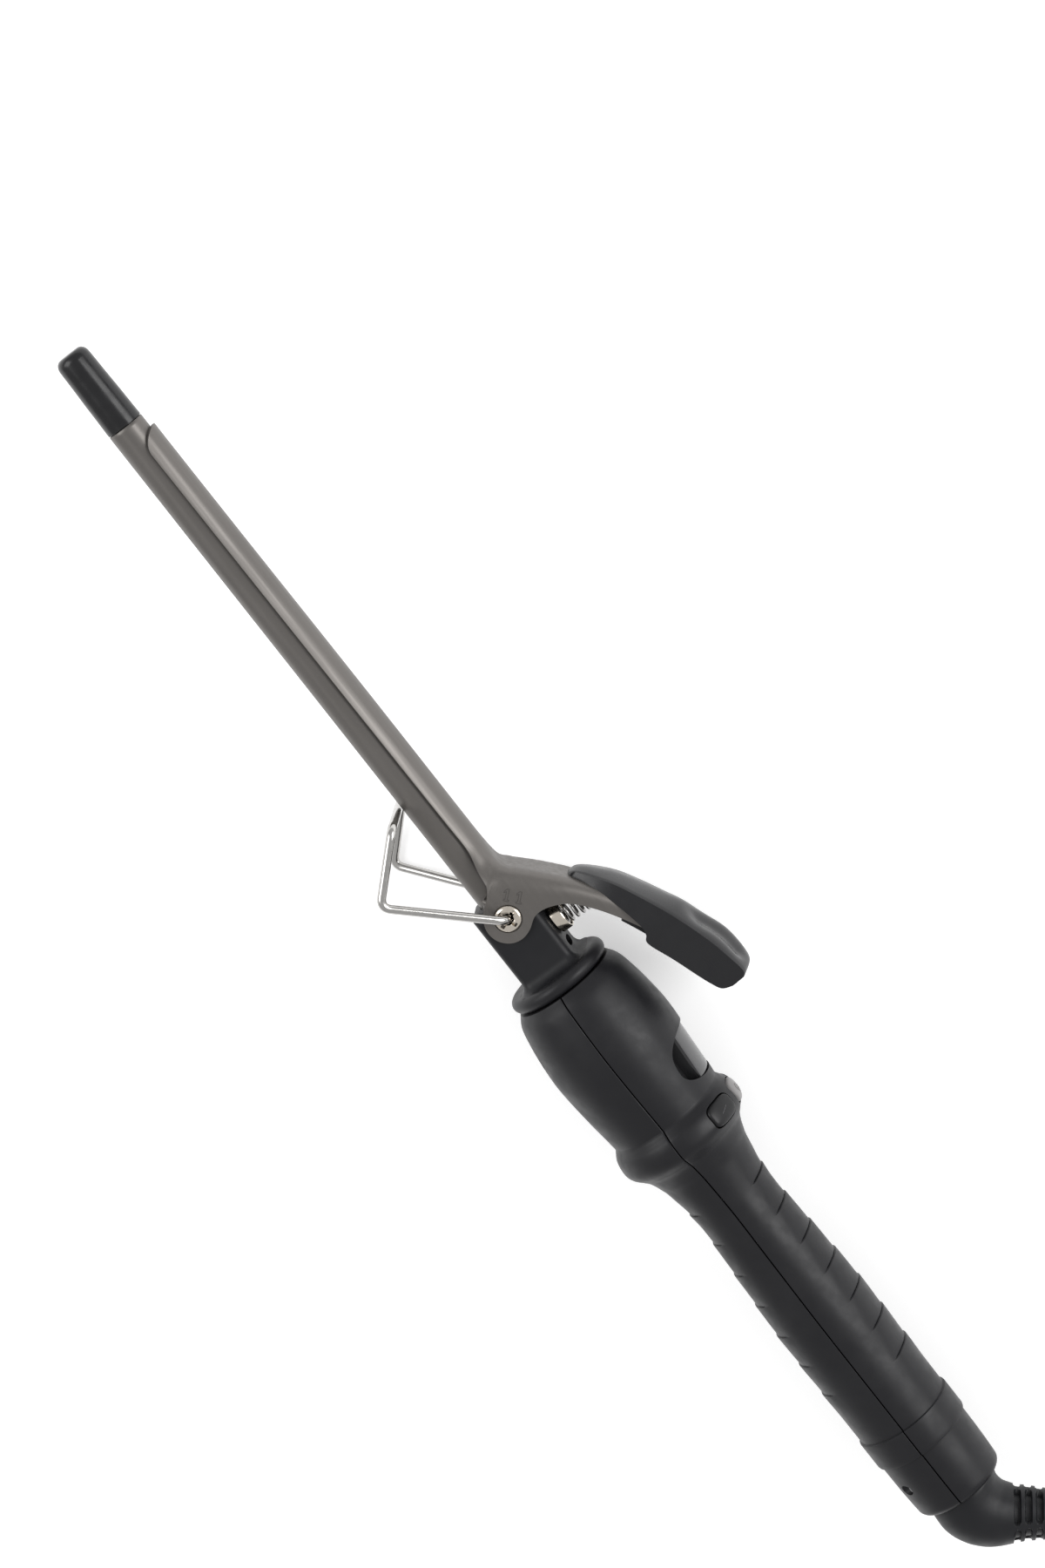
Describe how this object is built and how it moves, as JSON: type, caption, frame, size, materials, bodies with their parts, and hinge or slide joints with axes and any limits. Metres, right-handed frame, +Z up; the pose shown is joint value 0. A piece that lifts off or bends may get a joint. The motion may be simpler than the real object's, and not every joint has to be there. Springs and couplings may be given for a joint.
{
  "type": "curling iron",
  "caption": "Slim hair curling iron with spring clamp and thumb rest, folding wire stand, digital display and keys on a rounded two-part handle, and a swivelling mains lead.",
  "frame": {"origin": "on the table, under the middle of the iron as it lies on its side, lead left out", "axes": "+X along the barrel from the cool tip towards the lead, +Y to the side of the clamp's thumb rest, +Z up from the table along the clamp's hinge line"},
  "size_m": [0.6635, 0.0969, 0.0456],
  "materials": {
    "soft_touch": "soft-touch black",
    "black_plastic": "satin black",
    "coated_metal": "satin warm grey coating",
    "nickel": "nickel plated",
    "spring_steel": "drawn wire",
    "chrome_wire": "polished wire",
    "grey_plastic": "satin light grey",
    "display_glass": "smoked window",
    "circuit": "green board",
    "heater_ceramic": "unglazed",
    "aluminium": "extruded",
    "contact_brass": "turned",
    "lead_insulation": "silicone sleeve",
    "cord_sheath": "matte black sheath",
    "plug_plastic": "moulded black"
  },
  "bodies": {
    "handle": {"upper_shell": "soft_touch", "lower_shell": "soft_touch", "guard_ring": "soft_touch", "cool_tip": "black_plastic", "neck_block": "black_plastic", "display_frame": "black_plastic", "display_module": "black_plastic", "barrel": "coated_metal", "pivot_screw_left": "nickel", "pivot_screw_right": "nickel", "spring_seat": "nickel", "front_screw_left": "nickel", "front_screw_right": "nickel", "tail_screw_left": "nickel", "tail_screw_right": "nickel", "swivel_washer": "nickel", "thermal_fuse": "nickel", "clamp_spring": "spring_steel", "power_switch": "grey_plastic", "plus_switch": "grey_plastic", "minus_switch": "grey_plastic", "display_window": "display_glass", "circuit_board": "circuit", "control_board": "circuit", "heater_ceramic": "heater_ceramic", "temperature_sensor": "heater_ceramic", "heater_sleeve": "heater_ceramic", "heat_spreader_upper": "aluminium", "heat_spreader_lower": "aluminium", "plug_pin_live": "contact_brass", "plug_pin_neutral": "contact_brass", "brush_live": "contact_brass", "brush_neutral": "contact_brass", "heater_lead_live": "lead_insulation", "heater_lead_neutral": "lead_insulation", "supply_lead_live": "lead_insulation", "supply_lead_neutral": "lead_insulation", "cord": "cord_sheath", "cord_hank": "cord_sheath", "cord_tail": "cord_sheath", "cord_tie": "cord_sheath", "plug_body": "plug_plastic"},
    "clamp": {"clamp_plate": "coated_metal", "thumb_rest": "black_plastic", "thumb_rest_clip": "black_plastic"},
    "stand": {"stand_wire": "chrome_wire"},
    "swivel": {"swivel_hub": "black_plastic", "slip_ring_live": "contact_brass", "slip_ring_neutral": "contact_brass", "cord_elbow": "cord_sheath"},
    "power_key": {"power_button": "grey_plastic"},
    "plus_key": {"plus_button": "black_plastic"},
    "minus_key": {"minus_button": "black_plastic"}
  },
  "joints": [
    {"name": "clamp_hinge", "type": "hinge", "parent": "handle", "child": "clamp", "pos_m": [-0.02906, -0.0111, 0.02279], "axis": [0, 0, -1], "range_deg": [0, 15], "stiffness_Nm_per_rad": 0.4, "springref_deg": -20.05, "deforming": ["clamp_spring"]},
    {"name": "stand_hinge", "type": "hinge", "parent": "handle", "child": "stand", "pos_m": [-0.02906, -0.0111, 0.02279], "axis": [0, 0, 1], "range_deg": [0, 130]},
    {"name": "cord_swivel", "type": "hinge", "parent": "handle", "child": "swivel", "pos_m": [0.18814, -0.0121, 0.02279], "axis": [1, 0, 0], "continuous": true},
    {"name": "power_press", "type": "slide", "parent": "handle", "child": "power_key", "axis": [0, -1, 0], "range_m": [0, 0.0008], "stiffness_N_per_m": 500, "springref_m": -0.001},
    {"name": "plus_press", "type": "slide", "parent": "handle", "child": "plus_key", "axis": [0, -0.8007, 0.599], "range_m": [0, 0.0008], "stiffness_N_per_m": 500, "springref_m": -0.001},
    {"name": "minus_press", "type": "slide", "parent": "handle", "child": "minus_key", "axis": [0, -0.8007, -0.599], "range_m": [0, 0.0008], "stiffness_N_per_m": 500, "springref_m": -0.001}
  ]
}
